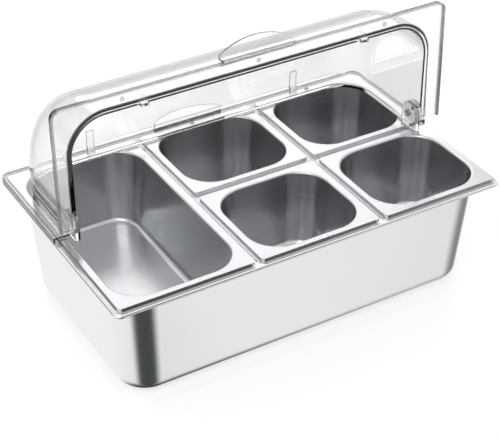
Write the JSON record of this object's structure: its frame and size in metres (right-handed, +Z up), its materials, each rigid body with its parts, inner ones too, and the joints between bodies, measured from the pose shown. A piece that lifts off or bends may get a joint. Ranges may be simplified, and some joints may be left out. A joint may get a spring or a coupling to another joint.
{
  "type": "roll-top food display",
  "caption": "Deep rectangular steel pan that holds lift-out food pans under a clear split roll-top cover, whose front half rolls back over the rear half on hinge pins.",
  "frame": {"origin": "middle of the base pan's flat underside", "axes": "+Z up, +X along the length to the right, +Y to the rear, away from the half that opens"},
  "size_m": [0.5374, 0.3453, 0.36],
  "materials": {
    "stainless_steel": "satin",
    "clear_plastic": "clear and glossy",
    "frosted_plastic": "frosted",
    "soft_bumper": "matt"
  },
  "bodies": {
    "base": {"base_pan": "stainless_steel", "adapter_bar_left": "stainless_steel", "adapter_bar_right": "stainless_steel", "third_pan": "stainless_steel", "sixth_pan_front_middle": "stainless_steel", "sixth_pan_front_right": "stainless_steel", "sixth_pan_rear_middle": "stainless_steel", "sixth_pan_rear_right": "stainless_steel"},
    "rear_cover": {"rear_cover": "clear_plastic", "rear_handle": "clear_plastic", "rear_bumper_left": "soft_bumper", "rear_bumper_middle": "soft_bumper", "rear_bumper_right": "soft_bumper", "hinge_pin_left": "frosted_plastic", "hinge_pin_right": "frosted_plastic", "hinge_cap_left": "frosted_plastic", "hinge_cap_right": "frosted_plastic"},
    "front_cover": {"front_cover": "clear_plastic", "front_handle": "clear_plastic", "front_bumper_left": "soft_bumper", "front_bumper_middle": "soft_bumper", "front_bumper_right": "soft_bumper"}
  },
  "joints": [
    {"name": "cover_lift", "type": "slide", "parent": "base", "child": "rear_cover", "axis": [0, 0, 1], "range_m": [0, 0.2]},
    {"name": "front_roll", "type": "hinge", "parent": "rear_cover", "child": "front_cover", "pos_m": [0, 0, 0.177], "axis": [1, 0, 0], "range_deg": [0, 91]}
  ]
}
